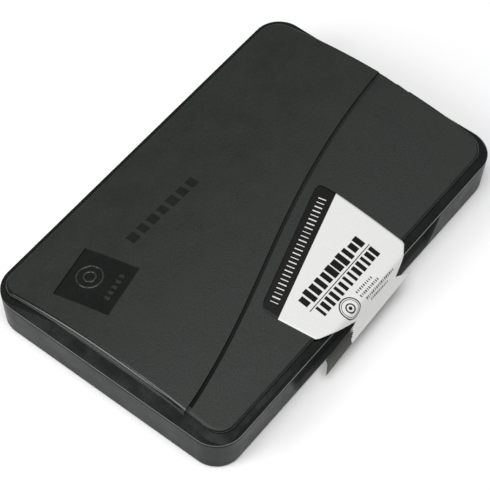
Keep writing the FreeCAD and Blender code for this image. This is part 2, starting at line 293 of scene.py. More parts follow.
def rounded_mask(
    tree: bpy.types.NodeTree,
    coords: bpy.types.NodeSocket,
    half: Flat,
    radius: float,
    centre: Flat = (0.0, 0.0),
    turn: float = 0.0,
    soft: float = 0.15,
) -> bpy.types.NodeSocket:
    """Nodes that are 1 inside a rounded rectangle seen from above and 0 outside it.

    Args:
        tree: the material's node tree.
        coords: Object coordinates.
        half: half the length and half the width, in mm.
        radius: corner radius, in mm.
        centre: the rectangle's middle, in mm.
        turn: its turn about Z, in degrees.
        soft: half the width of the soft edge, in mm.

    Returns:
        The mask's output socket.
    """
    to_middle = {"Location": (centre[0] * MM, centre[1] * MM, 0), "Rotation": (0, 0, math.radians(turn))}
    place = add_node(tree, "ShaderNodeMapping", to_middle, {"Vector": coords}, vector_type="TEXTURE")
    size = add_node(tree, "ShaderNodeVectorMath", links={0: place.outputs[0]}, operation="ABSOLUTE")
    flat = add_node(tree, "ShaderNodeVectorMath", {1: (1, 1, 0)}, {0: size.outputs[0]}, operation="MULTIPLY")
    core = ((half[0] - radius) * MM, (half[1] - radius) * MM, 0)
    past = add_node(tree, "ShaderNodeVectorMath", {1: core}, {0: flat.outputs[0]}, operation="SUBTRACT")
    only = add_node(tree, "ShaderNodeVectorMath", {1: (0, 0, 0)}, {0: past.outputs[0]}, operation="MAXIMUM")
    far = add_node(tree, "ShaderNodeVectorMath", links={0: only.outputs[0]}, operation="LENGTH")
    return remap(tree, far.outputs["Value"], (radius - soft) * MM, (radius + soft) * MM, 1.0, 0.0)


def mesh_object(
    name: str, points: Sequence[Vector], faces: Sequence[Sequence[int]], materials: Sequence[bpy.types.Material]
) -> bpy.types.Object:
    """Makes a smooth-shaded object at the origin from points and faces.

    Args:
        name: the object's name.
        points: vertex places, in metres.
        faces: vertex numbers of each face.
        materials: the object's materials, in slot order.

    Returns:
        The new object, linked to the scene.
    """
    mesh = bpy.data.meshes.new(name)
    mesh.from_pydata([tuple(p) for p in points], [], [tuple(f) for f in faces])
    mesh.validate()
    for face in mesh.polygons:
        face.use_smooth = True
    for material in materials:
        mesh.materials.append(material)
    obj = bpy.data.objects.new(name, mesh)
    bpy.context.scene.collection.objects.link(obj)
    return obj


def applied(obj: bpy.types.Object) -> bpy.types.Object:
    """Turns the object's modifiers into plain mesh and removes them.

    Args:
        obj: the object to finish.

    Returns:
        The same object.
    """
    graph = bpy.context.evaluated_depsgraph_get()
    graph.update()
    mesh = bpy.data.meshes.new_from_object(obj.evaluated_get(graph))
    obj.modifiers.clear()
    obj.data = mesh
    mesh.name = obj.name
    return obj


def thicken(obj: bpy.types.Object, thickness: float, offset: float, back: int = 0) -> bpy.types.Object:
    """Gives a single-layer sheet its thickness.

    Args:
        obj: the sheet.
        thickness: in metres.
        offset: 1 grows it along its normals, -1 against them.
        back: how many slots on the far face's material is.

    Returns:
        The same object, with plain mesh.
    """
    wall = obj.modifiers.new("thickness", "SOLIDIFY")
    wall.thickness = thickness
    wall.offset = offset
    wall.material_offset = back
    return applied(obj)


def outline_ring(length: float, width: float, radius: float, corner_steps: int) -> list[Flat]:
    """Points round a rounded rectangle, anticlockwise from the front right corner.

    Args:
        length: size along X.
        width: size along Y.
        radius: corner radius.
        corner_steps: how many spans each corner has.

    Returns:
        The points, in the units of the sizes.
    """
    points: list[Flat] = []
    side_steps = 2 * corner_steps
    for quarter, (sx, sy) in enumerate(((1, -1), (1, 1), (-1, 1), (-1, -1))):
        cx, cy = sx * (length / 2 - radius), sy * (width / 2 - radius)
        start = math.radians(90 * quarter - 90)
        for k in range(corner_steps + 1):
            a = start + math.radians(90) * k / corner_steps
            points.append((cx + radius * math.cos(a), cy + radius * math.sin(a)))
        nx, ny = ((1, 1), (-1, 1), (-1, -1), (1, -1))[quarter]
        ex, ey = nx * (length / 2 - radius), ny * (width / 2 - radius)
        a = start + math.radians(90)
        tx, ty = ex + radius * math.cos(a), ey + radius * math.sin(a)
        px, py = points[-1]
        for k in range(1, side_steps):
            points.append((px + (tx - px) * k / side_steps, py + (ty - py) * k / side_steps))
    return points


def stacked_rings(
    rings: Sequence[Sequence[Vector]], close_first: bool, close_last: bool
) -> tuple[list[Vector], list[list[int]]]:
    """Joins rings of equal count into a skin.

    Args:
        rings: the rings, outermost first, each anticlockwise seen from above.
        close_first: whether the first ring gets a lid that faces down.
        close_last: whether the last ring gets a lid that faces up.

    Returns:
        Points and faces.
    """
    n = len(rings[0])
    points = [p for ring in rings for p in ring]
    faces = [
        [r * n + i, r * n + (i + 1) % n, (r + 1) * n + (i + 1) % n, (r + 1) * n + i]
        for r in range(len(rings) - 1)
        for i in range(n)
    ]
    if close_first:
        faces.append(list(reversed(range(n))))
    if close_last:
        faces.append([(len(rings) - 1) * n + i for i in range(n)])
    return points, faces


def wander(x: float, y: float, seed: float) -> float:
    """A smooth wandering value of about -1 to 1 at a place, in mm."""
    return (
        math.sin(0.11 * x + seed) * math.cos(0.15 * y - 1.7 * seed)
        + 0.5 * math.sin(0.29 * x - 0.21 * y + 2.3 * seed)
    ) / 1.5


# ---------------------------------------------------------------- finishes


@dataclass(frozen=True)
class MouldedPlastic:
    """Black polystyrene from a mould that is spark-eroded in places and polished in others."""

    name: str
    colour: str = "111412"
    grain_colour: str = "161d18"
    polished: float = 0.2
    textured: float = 0.6
    grain_pitch: float = 0.42
    grain_depth: float = 0.09
    cloud_pitch: float = 9.0
    rub_pitch: float = 1.4
    gloss: float = 0.5

    def make(self, textured: Mask | None = None, painted_shade: Mask | None = None) -> bpy.types.Material:
        """Builds the material.

        Args:
            textured: gives the socket that is 1 where the mould is textured, or None for polished all over.
            painted_shade: gives the socket that is 1 where shade is painted into the colour and the gloss is taken
                away, or None for nowhere.

        Returns:
            The material.
        """
        material, tree, shader = new_material(self.name, IOR=1.55, Specular_IOR_Level=self.gloss)
        coords = add_node(tree, "ShaderNodeTexCoord").outputs["Object"]
        grain = noise(tree, coords, self.grain_pitch, 2.0, 0.6)
        cloud = noise(tree, coords, self.cloud_pitch, 4.0, 0.62)
        rub = noise(tree, coords, self.rub_pitch, 3.0, 0.7)
        level = add_node(tree, "ShaderNodeMapRange", {0: 0.0, 3: self.polished, 4: self.textured})
        share: bpy.types.NodeSocket | float = 0.15
        relief: bpy.types.NodeSocket | float = 0.0
        if textured:
            share = relief = textured(tree, coords)
            tree.links.new(share, level.inputs[0])
        worn = remap(tree, cloud, 0.35, 0.7, -0.05, 0.07)
        rough = maths(tree, "ADD", level.outputs[0], worn, clamp=True)
        tree.links.new(rough, shader.inputs["Roughness"])
        speck = remap(tree, grain, 0.36, 0.64, 0.55, 1.4)
        drift = remap(tree, cloud, 0.3, 0.7, 0.88, 1.14)
        shade = scaled(tree, mixed(tree, self.colour, self.grain_colour, share), product(tree, speck, drift))
        # painted shade: a darker colour and almost no gloss where the mask is 1
        if painted_shade:
            shade_share = painted_shade(tree, coords)
            sheen = remap(tree, shade_share, 0.0, 1.0, self.gloss, 0.02)
            tree.links.new(sheen, shader.inputs["Specular IOR Level"])
            shade = scaled(tree, shade, remap(tree, shade_share, 0.0, 1.0, 1.0, 0.4))
        tree.links.new(shade, shader.inputs["Base Color"])
        # the polished areas keep only a faint ripple and fine rubbing marks
        fine = bump(tree, rub, 0.06, 0.01)
        tree.links.new(bump(tree, grain, relief, self.grain_depth, fine), shader.inputs["Normal"])
        return material


@dataclass(frozen=True)
class CoatedPaper:
    """Clay-coated label paper, plain or flooded with ink, and optionally with painted shade that is darker towards
    the top.
    """

    name: str
    colour: str
    shadow: str
    roughness: float = 0.42
    gloss: float = 0.5

    def make(self, shade_heights: Flat | None = None) -> bpy.types.Material:
        """Builds the material: a faint fibre mottle under a smooth coating.

        Args:
            shade_heights: heights in metres at which the painted shade is darkest and at which it has turned
                lighter than the plain colour, if shade is painted.

        Returns:
            The material.
        """
        material, tree, shader = new_material(
            self.name, IOR=1.48, Roughness=self.roughness, Specular_IOR_Level=self.gloss
        )
        coords = add_node(tree, "ShaderNodeTexCoord").outputs["Object"]
        fibre = noise(tree, coords, 0.5, 4.0, 0.65)
        colour = mixed(tree, self.colour, self.shadow, remap(tree, fibre, 0.3, 0.7))
        # painted shade: darker towards the top, lighter towards the bottom
        if shade_heights:
            height = add_node(tree, "ShaderNodeSeparateXYZ", links={0: coords}).outputs[2]
            colour = scaled(tree, colour, remap(tree, height, shade_heights[0], shade_heights[1], 0.12, 1.3))
        tree.links.new(colour, shader.inputs["Base Color"])
        tree.links.new(bump(tree, fibre, 0.12, 0.01), shader.inputs["Normal"])
        return material


@dataclass(frozen=True)
class InkSoaked:
    """Fabric that is wet with stamping ink."""

    name: str
    weave: Weave
    colour: str = "0b0c12"
    dry: str = "1b1d27"
    pitch: float = 0.55
    soak_pitch: float = 14.0
    roughness: float = 0.6

    def make(self) -> bpy.types.Material:
        """Builds the material: crossing threads for a plain weave, matted fibres for felt."""
        material, tree, shader = new_material(
            self.name, IOR=1.45, Roughness=self.roughness, Sheen_Weight=0.25, Sheen_Roughness=0.5
        )
        coords = add_node(tree, "ShaderNodeTexCoord").outputs["Object"]
        soak = noise(tree, coords, self.soak_pitch, 3.0, 0.6)
        if self.weave is Weave.PLAIN:
            threads = []
            for direction in "XY":
                wave = add_node(
                    tree, "ShaderNodeTexWave",
                    {"Scale": 2 * math.pi / (20 * self.pitch * MM), "Distortion": 0.35, "Detail": 1.0},
                    {"Vector": coords}, wave_type="BANDS", bands_direction=direction,
                )
                threads.append(wave.outputs["Fac"])
            surface = product(tree, *threads)
        else:
            surface = noise(tree, coords, self.pitch, 5.0, 0.75, 1.2)
        tone = mixed(tree, self.colour, self.dry, product(tree, surface, soak))
        tree.links.new(tone, shader.inputs["Base Color"])
        tree.links.new(bump(tree, surface, 0.5, 0.08), shader.inputs["Normal"])
        return material


@dataclass(frozen=True)
class PressedBoard:
    """Grey pressed board with visible fibres."""

    name: str = "greyboard"
    colour: str = "8d877c"
    fleck: str = "6a655c"

    def make(self) -> bpy.types.Material:
        """Builds the material."""
        material, tree, shader = new_material(self.name, IOR=1.45, Roughness=0.85)
        coords = add_node(tree, "ShaderNodeTexCoord").outputs["Object"]
        fibre = noise(tree, coords, 1.1, 5.0, 0.7, 0.8)
        tree.links.new(mixed(tree, self.colour, self.fleck, fibre), shader.inputs["Base Color"])
        tree.links.new(bump(tree, fibre, 0.3, 0.05), shader.inputs["Normal"])
        return material


@dataclass(frozen=True)
class DrawnWire:
    """Bright steel wire with drawing lines along it."""

    name: str = "drawn_steel"
    colour: str = "b9bab8"

    def make(self) -> bpy.types.Material:
        """Builds the material."""
        material, tree, shader = new_material(self.name, Metallic=1.0, IOR=2.6)
        shader.inputs["Base Color"].default_value = linear(self.colour)
        coords = add_node(tree, "ShaderNodeTexCoord").outputs["Object"]
        along = add_node(tree, "ShaderNodeMapping", {"Scale": (40, 9000, 9000)}, {"Vector": coords})
        lines = add_node(tree, "ShaderNodeTexNoise", {"Scale": 1.0, "Detail": 2.0}, {"Vector": along.outputs[0]})
        tree.links.new(remap(tree, lines.outputs[0], 0.3, 0.7, 0.22, 0.4), shader.inputs["Roughness"])
        return material


# ---------------------------------------------------------------- the case


@dataclass(frozen=True)
class Crown:
    """The lid's crowned top, an arc about an axis along X, in mm."""

    rim: float = 12.6
    height: float = 6.3
    radius: float = 164.983
    middle: float = -2.0
    panel_step: float = 0.4

    def z(self, y: float, raised: float = 0.0) -> float:
        """Height of the crowned surface.

        Args:
            y: place across the lid, in mm.
            raised: how much higher than the front panel, in mm.

        Returns:
            The height in mm.
        """
        return self.rim + self.height + raised - self.radius + math.sqrt(self.radius**2 - (y - self.middle) ** 2)


@dataclass
class Case:
    """The moulded case: base, lid, retaining frame, board and pins keep their CAD shapes."""

    crown: Crown
    panel_half: Flat = (61.8, 39.1)
    panel_middle: Flat = (0.4, 0.9)
    panel_radius: float = 5.9
    panel_edge: float = 1.6
    groove_depths: tuple[float, float, float, float] = (0.12, 0.3, 0.8, 1.0)
    # strength of the painted shade in the groove at the left end and at the right end
    groove_painted_shade_ends: Flat = (0.85, 0.18)
    # where the painted shade in the finger scoop lies, in mm
    scoop_half: float = 36.0
    scoop_depths: Flat = (-41.0, -40.0)
    scoop_back: float = -37.5
    scoop_heights: Flat = (0.8, 4.5)
    square_centre: Flat = (-45.6, 18.1)
    square_side: float = 17.5
    square_turn: float = 10.5

    def textured_top(self, tree: bpy.types.NodeTree, coords: bpy.types.NodeSocket) -> bpy.types.NodeSocket:
        """Nodes that are 1 on the raised panels and inside the lid, and 0 on the ledge and in the square.

        Args:
            tree: the material's node tree.
            coords: Object coordinates.

        Returns:
            The mask's output socket.
        """
        panel = rounded_mask(tree, coords, self.panel_half, self.panel_radius, self.panel_middle)
        half = self.square_side / 2
        square = rounded_mask(tree, coords, (half, half), 0.3, self.square_centre, self.square_turn, 0.08)
        top = maths(tree, "SUBTRACT", panel, square, clamp=True)
        facing = add_node(tree, "ShaderNodeTexCoord").outputs["Normal"]
        upward = add_node(tree, "ShaderNodeSeparateXYZ", links={0: facing}).outputs[2]
        return maths(tree, "MAXIMUM", top, remap(tree, upward, -0.2, -0.4))

    def painted_groove_shade(self, tree: bpy.types.NodeTree, coords: bpy.types.NodeSocket) -> bpy.types.NodeSocket:
        """Nodes that paint shade in the groove along the curved step, strongest at the left end and fading towards
        the right end, and 0 elsewhere.

        Args:
            tree: the material's node tree.
            coords: Object coordinates.

        Returns:
            The mask's output socket.
        """
        half = (self.panel_half[0] - self.panel_edge, self.panel_half[1] - self.panel_edge)
        panel = rounded_mask(tree, coords, half, self.panel_radius - self.panel_edge, self.panel_middle)
        place = add_node(tree, "ShaderNodeSeparateXYZ", links={0: coords})
        radius = self.crown.radius * MM
        aside = maths(tree, "SUBTRACT", place.outputs[1], self.crown.middle * MM)
        arc = maths(tree, "SQRT", maths(tree, "SUBTRACT", radius**2, product(tree, aside, aside)))
        above = maths(tree, "SUBTRACT", arc, place.outputs[2])
        # above is the depth under the front panel's crown, less the height of the crown's axis
        axis = (self.crown.rim + self.crown.height - self.crown.radius) * MM
        shallow, deep, inner, through = (depth * MM - axis for depth in self.groove_depths)
        floor = product(tree, remap(tree, above, shallow, deep), remap(tree, above, inner, through, 1.0, 0.0))
        end = self.panel_half[0] * MM
        # painted shade in the groove, fading from the left end to the right end
        return product(tree, panel, floor, remap(tree, place.outputs[0], -end, end, *self.groove_painted_shade_ends))

    def painted_scoop_shade(self, tree: bpy.types.NodeTree, coords: bpy.types.NodeSocket) -> bpy.types.NodeSocket:
        """Nodes that paint shade in the finger scoop of the tray's front wall, under the lid's lip, and are 0
        elsewhere.

        Args:
            tree: the material's node tree.
            coords: Object coordinates.

        Returns:
            The mask's output socket.
        """
        place = add_node(tree, "ShaderNodeSeparateXYZ", links={0: coords})
        aside = maths(tree, "ABSOLUTE", place.outputs[0])
        inside = maths(tree, "LESS_THAN", aside, self.scoop_half * MM)
        front = maths(tree, "LESS_THAN", place.outputs[1], self.scoop_back * MM)
        deep = remap(tree, place.outputs[1], *(limit * MM for limit in self.scoop_depths))
        up = remap(tree, place.outputs[2], *(limit * MM for limit in self.scoop_heights))
        # painted shade, strongest deep in the scoop and high up under the lid's lip
        return product(tree, deep, front, up, inside)

    def dress(self, nodes: dict[str, bpy.types.Object]) -> None:
        """Gives the CAD nodes their finishes.

        Args:
            nodes: the frame's nodes by name.
        """
        # painted shade in the lid's groove along the step
        shell = MouldedPlastic("moulded_polystyrene_lid").make(self.textured_top, self.painted_groove_shade)
        # painted shade in the tray's finger scoop
        tray = MouldedPlastic("moulded_polystyrene_tray", "171b19", polished=0.36, gloss=0.1).make(
            painted_shade=self.painted_scoop_shade
        )
        satin = MouldedPlastic("satin_polystyrene_frame", polished=0.36).make()
        finishes = {
            "lid": shell,
            "base_tray": tray,
            "retaining_frame": satin,
            "backing_board": PressedBoard().make(),
            "hinge_pin_left": DrawnWire().make(),
            "hinge_pin_right": DrawnWire("drawn_steel_right").make(),
        }
        for name, material in finishes.items():
            for slot in nodes[name].material_slots:
                slot.material = material
            LOG.info("dressed %s", name)


# ---------------------------------------------------------------- rows of printed or moulded blocks


@dataclass(frozen=True)
class BlockRow:
    """A row of plain blocks that stands for a line of lettering, in mm on a flat sheet."""

    name: str
    start: Flat
    end: Flat
    height: float
    count: int
    gap: float
    seed: int
    smallest: Flat = (0.72, 0.9)

    def mesh(self, material: bpy.types.Material) -> bpy.types.Mesh:
        """Builds the row flat, along X from the origin, with Geometry Nodes.

        Args:
            material: the blocks' finish.

        Returns:
            A plain mesh in mm.
        """
        tree = block_row_tree()
        holder = bpy.data.objects.new(self.name, bpy.data.meshes.new(self.name))
        bpy.context.scene.collection.objects.link(holder)
        modifier = holder.modifiers.new("row", "NODES")
        modifier.node_group = tree
        pitch = math.dist(self.start, self.end) / self.count
        sizes = {
            "Count": self.count, "Pitch": pitch, "Block Width": pitch - self.gap,
            "Block Height": self.height, "Seed": self.seed, "Finish": material,
            "Smallest": (self.smallest[0], self.smallest[1], 1.0),
        }
        for item in tree.interface.items_tree:
            if item.name in sizes and item.in_out == "INPUT":
                modifier[item.identifier] = sizes[item.name]
        graph = bpy.context.evaluated_depsgraph_get()
        mesh = bpy.data.meshes.new_from_object(holder.evaluated_get(graph))
        bpy.data.objects.remove(holder)
        return mesh

    def placed(self, material: bpy.types.Material, put: Callable[[float, float], Vector]) -> bpy.types.Object:
        """The row laid on a surface.

        Args:
            material: the blocks' finish.
            put: takes a place on the flat sheet in mm and gives the point in metres.

        Returns:
            The row as an object at the origin.
        """
        mesh = self.mesh(material)
        dx, dy = self.end[0] - self.start[0], self.end[1] - self.start[1]
        run = math.hypot(dx, dy)
        ux, uy = dx / run, dy / run
        for v in mesh.vertices:
            x = self.start[0] + v.co.x * ux - v.co.y * uy
            y = self.start[1] + v.co.x * uy + v.co.y * ux
            v.co = put(x, y)
        obj = bpy.data.objects.new(self.name, mesh)
        bpy.context.scene.collection.objects.link(obj)
        return obj


def block_row_tree() -> bpy.types.NodeTree:
    """The Geometry Nodes tree that repeats a block along X, built once.

    Returns:
        The node tree, with named inputs.
    """
    if "row of blocks" in bpy.data.node_groups:
        return bpy.data.node_groups["row of blocks"]
    tree = bpy.data.node_groups.new("row of blocks", "GeometryNodeTree")
    face = tree.interface
    face.new_socket("Geometry", in_out="OUTPUT", socket_type="NodeSocketGeometry")
    for name, kind in (
        ("Count", "Int"), ("Pitch", "Float"), ("Block Width", "Float"), ("Block Height", "Float"),
        ("Seed", "Int"), ("Smallest", "Vector"), ("Finish", "Material"),
    ):
        face.new_socket(name, in_out="INPUT", socket_type=f"NodeSocket{kind}")
    given = add_node(tree, "NodeGroupInput").outputs
    half = maths(tree, "MULTIPLY", given["Pitch"], 0.5)
    start = add_node(tree, "ShaderNodeCombineXYZ", links={0: half})
    step = add_node(tree, "ShaderNodeCombineXYZ", links={0: given["Pitch"]})
    line = add_node(
        tree, "GeometryNodeMeshLine",
        links={"Count": given["Count"], "Start Location": start.outputs[0], "Offset": step.outputs[0]},
    )
    block = add_node(
        tree, "GeometryNodeMeshGrid", {"Vertices X": 5, "Vertices Y": 7},
        {"Size X": given["Block Width"], "Size Y": given["Block Height"]},
    )
    vary = add_node(
        tree, "FunctionNodeRandomValue", {1: (1.0, 1.0, 1.0)}, {0: given["Smallest"], "Seed": given["Seed"]},
        data_type="FLOAT_VECTOR",
    )
    spread = add_node(
        tree, "GeometryNodeInstanceOnPoints",
        links={"Points": line.outputs[0], "Instance": block.outputs[0], "Scale": vary.outputs[0]},
    )
    whole = add_node(tree, "GeometryNodeRealizeInstances", links={0: spread.outputs[0]})
    dressed = add_node(
        tree, "GeometryNodeSetMaterial", links={"Geometry": whole.outputs[0], "Material": given["Finish"]}
    )
    add_node(tree, "NodeGroupOutput", links={0: dressed.outputs[0]})
    return tree


def laid_ring(
    name: str, centre: Flat, inner: float, outer: float, material: bpy.types.Material,
    put: Callable[[float, float], Vector], steps: int = 64,
) -> bpy.types.Object:
    """A flat ring laid on a surface.

    Args:
        name: the object's name.
        centre: its middle on the flat sheet, in mm.
        inner: inner radius in mm, or 0 for a disc.
        outer: outer radius in mm.
        material: its finish.
        put: takes a place on the flat sheet in mm and gives the point in metres.
        steps: spans round the ring.

    Returns:
        The ring as an object at the origin.
    """
    radii = [inner, (inner + outer) / 2, outer] if inner > 0 else [outer / 8, outer / 2, outer]
    points, faces = [], []
    for r in radii:
        for k in range(steps):
            a = 2 * math.pi * k / steps
            points.append(put(centre[0] + r * math.cos(a), centre[1] + r * math.sin(a)))
    for r in range(2):
        for k in range(steps):
            n = (k + 1) % steps
            faces.append([r * steps + k, (r + 1) * steps + k, (r + 1) * steps + n, r * steps + n])
    if inner <= 0:
        faces.append(list(range(steps)))
    return mesh_object(name, points, faces, [material])


# ---------------------------------------------------------------- the label


@dataclass
class PaperLabel:
    """The paper label: stuck to the front panel, over the lid's front edge, free below a narrow neck."""

    crown: Crown
    lift: float = 0.06
    thickness: float = 0.16
    edge_y: float = -38.2
    lip: Flat = (-41.6, 14.05)
    neck: Flat = (-42.95, 10.4)
    foot: Flat = (-45.0, 6.0)
    columns: int = 72
    corner: float = 2.2
    flat_end: float = -36.0
    droop_from: Flat = (-6.0, -44.0)
    droop_over: Flat = (15.5, 6.0)
    droop: tuple[float, float, float] = (0.4, 0.35, -1.6)
    wing_top: float = -45.4
    wing_side: Flat = (-7.6, -12.2)
    wing_reach: float = 5.0
    # left and right ends of rows across the flat sheet, from the rear edge to the free end
    rungs: tuple[tuple[Flat, Flat, int], ...] = (
        ((-24.3, -22.3), (18.5, -9.6), 0),
        ((-23.9, -28.0), (19.1, -15.8), 12),
        ((-22.3, -35.4), (19.4, -32.0), 14),
        ((-21.4, -39.2), (19.6, -38.8), 12),
        ((-20.4, -39.9), (19.3, -39.7), 4),
        ((-7.3, -45.4), (11.0, -45.4), 14),
        ((-9.6, -45.7), (12.0, -45.9), 2),
        ((-21.9, -46.8), (13.2, -46.6), 5),
        ((-22.0, -48.6), (15.0, -47.7), 5),
        ((-23.6, -50.7), (16.8, -48.7), 8),
    )

    def profile(self) -> list[Flat]:
        """The sheet's side view as (y, z) points, a fine step apart, from where it leaves the crown's arc."""
        knots = [(y, self.crown.z(y) + self.lift) for y in (self.flat_end, -37.2, self.edge_y)]
        knots += [(-40.2, 14.55), (-41.1, 14.25), self.lip, (-42.1, 12.9), self.neck, (-44.0, 8.0), self.foot]
        knots.append((-45.9, 4.1))
        for _ in range(3):
            cut = [knots[0]]
            for a, b in zip(knots, knots[1:]):
                cut.append((0.75 * a[0] + 0.25 * b[0], 0.75 * a[1] + 0.25 * b[1]))
                cut.append((0.25 * a[0] + 0.75 * b[0], 0.25 * a[1] + 0.75 * b[1]))
            knots = cut + [knots[-1]]
        return knots

    def __post_init__(self) -> None:
        """Measures the side view once."""
        self._line = self.profile()
        self._reach = [0.0]
        for a, b in zip(self._line, self._line[1:]):
            self._reach.append(self._reach[-1] + math.dist(a, b))

    def put(self, x: float, flat_y: float, above: float = 0.0) -> Vector:
        """The point in space of a place on the flat sheet.

        Args:
            x: place across the sheet, in mm.
            flat_y: place along the sheet, in mm, equal to Y where it lies on the lid.
            above: height above the sheet's lower face, in mm.

        Returns:
            The point in metres.
        """
        if flat_y >= self.flat_end:
            y, z = flat_y, self.crown.z(flat_y) + self.lift
            slope = Vector((0, (y - self.crown.middle) / self.crown.radius, 1.0)).normalized()
        else:
            s = self.flat_end - flat_y
            k = max(i for i, r in enumerate(self._reach[:-1]) if r <= s)
            span = self._reach[k + 1] - self._reach[k]
            t = (s - self._reach[k]) / span
            a, b = self._line[k], self._line[k + 1]
            y, z = a[0] + t * (b[0] - a[0]), a[1] + t * (b[1] - a[1])
            slope = Vector((0, b[1] - a[1], -(b[0] - a[0]))).normalized()
        below = max(0.0, self.droop_from[1] - flat_y)
        left = max(0.0, self.droop_from[0] - x)
        share = min(below / self.droop_over[1], 1.0) * (left / self.droop_over[0]) ** 2
        return (Vector((x, y, z)) + Vector(self.droop) * share + slope * above) * MM

    def on_shaded_wing(self, x: float, flat_y: float) -> bool:
        """Whether a place on the flat sheet is on the curled wing left of the neck, whose dark colour is painted
        shade.
        """
        below = self.wing_top - flat_y
        if below <= 0:
            return False
        start, end = self.wing_side
        return x < start + (end - start) * min(below / self.wing_reach, 1.0) ** 0.6

    def row_ends(self) -> list[tuple[Flat, Flat, float]]:
        """Left end, right end and distance from the rear edge of every row of the sheet."""
        rows: list[tuple[Flat, Flat, float]] = []
        far = 0.0
        for (l0, r0, _), (l1, r1, steps) in zip(self.rungs, self.rungs[1:]):
            first = 0 if not rows else 1
            length = abs((l1[1] + r1[1] - l0[1] - r0[1]) / 2)
            for k in range(first, steps + 1):
                t = k / steps
                left = (l0[0] + t * (l1[0] - l0[0]), l0[1] + t * (l1[1] - l0[1]))
                right = (r0[0] + t * (r1[0] - r0[0]), r0[1] + t * (r1[1] - r0[1]))
                rows.append((left, right, far + t * length))
            far += length
        return rows

    def build(self) -> list[bpy.types.Object]:
        """Builds the sheet and its print.

        Returns:
            The pieces, the sheet first.
        """
        white = CoatedPaper("coated_paper_white", "e1e1e0", "dadad8").make()
        black = CoatedPaper("coated_paper_black_band", "121011", "171516", 0.45, 0.25).make()
        # the back's dark olive grey is painted shade
        back = CoatedPaper("uncoated_paper_back_painted_shade", "6e6f62", "62635a", 0.8).make()
        # the wing's dark olive colour, darker towards the top, is painted shade
        wing = CoatedPaper("coated_paper_painted_shade_wing", "4e5047", "43453d", 0.6).make((0.0095, 0.0045))
        rows = self.row_ends()
        points, faces, kind = [], [], []
        for left, right, far in rows:
            inset = 0.0
            if far < self.corner:
                inset = self.corner - math.sqrt(self.corner**2 - (self.corner - far) ** 2)
            width = right[0] - left[0]
            for c in range(self.columns + 1):
                t = (inset + (width - 2 * inset) * c / self.columns) / width
                points.append(self.put(left[0] + t * width, left[1] + t * (right[1] - left[1])))
        n = self.columns + 1
        band_rows = self.rungs[1][2]
        for r in range(len(rows) - 1):
            left, right, _ = rows[r]
            for c in range(self.columns):
                faces.append([r * n + c, (r + 1) * n + c, (r + 1) * n + c + 1, r * n + c + 1])
                t = (c + 0.5) / self.columns
                x, y = left[0] + t * (right[0] - left[0]), left[1] + t * (right[1] - left[1])
                # slot 2 holds the wing's painted shade
                kind.append(1 if r < band_rows else 2 if self.on_shaded_wing(x, y) else 0)
        sheet = mesh_object("label_sheet", points, faces, [white, black, wing, back, back, back])
        for polygon, index in zip(sheet.data.polygons, kind):
            polygon.material_index = index
        thicken(sheet, self.thickness * MM, 1.0, 3)
        pieces = [sheet]
        ink = CoatedPaper("printing_ink_black", "0c0b0b", "121111", 0.45, 0.2).make()
        grey = CoatedPaper("printing_ink_grey", "55554f", "5e5e58", 0.4).make()
        pale = CoatedPaper("unprinted_paper_lines", "dededa", "d2d2ce", 0.4).make()

        def on_top(x: float, y: float) -> Vector:
            """A place on the printed face."""
            return self.put(x, y, self.thickness + 0.02)

        lines = (
            (BlockRow("band_marks", (-21.2, -24.3), (15.6, -13.8), 2.4, 25, 1.1, 5, (0.45, 0.95)), pale),
            (BlockRow("title_marks_upper", (-15.9, -30.1), (11.9, -29.9), 4.3, 11, 0.35, 2, (0.6, 0.68)), ink),
            (BlockRow("title_marks_lower", (-14.8, -35.2), (12.3, -34.9), 3.5, 13, 0.3, 8, (0.5, 0.9)), ink),
            (BlockRow("title_rule", (-16.0, -33.0), (12.2, -32.6), 0.26, 1, 0.0, 1, (1.0, 1.0)), ink),
            (BlockRow("small_marks_a", (-2.6, -38.9), (4.6, -39.1), 0.85, 9, 0.2, 3, (0.5, 0.8)), grey),
            (BlockRow("small_marks_b", (-2.6, -40.5), (5.6, -40.7), 0.85, 11, 0.2, 4, (0.5, 0.8)), grey),
            (BlockRow("small_marks_c", (-1.6, -42.1), (11.2, -42.1), 0.85, 17, 0.2, 6, (0.5, 0.8)), grey),
            (BlockRow("small_marks_d", (-0.2, -43.7), (8.0, -43.7), 0.85, 11, 0.2, 7, (0.5, 0.8)), grey),
        )
        for row, material in lines:
            pieces.append(row.placed(material, on_top))
        seal = (-7.3, -40.6)
        for name, inner, outer in (
            ("seal_ring_outer", 3.0, 3.35), ("seal_ring_middle", 2.5, 2.68), ("seal_ring_inner", 1.1, 1.5),
            ("seal_dot", 0.0, 0.55),
        ):
            pieces.append(laid_ring(name, seal, inner, outer, ink, on_top))
        for piece in pieces:
            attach(piece, Body.LID.value)
            LOG.info("label: %s", piece.name)
        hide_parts("label")
        return pieces


# ---------------------------------------------------------------- marks on the lid


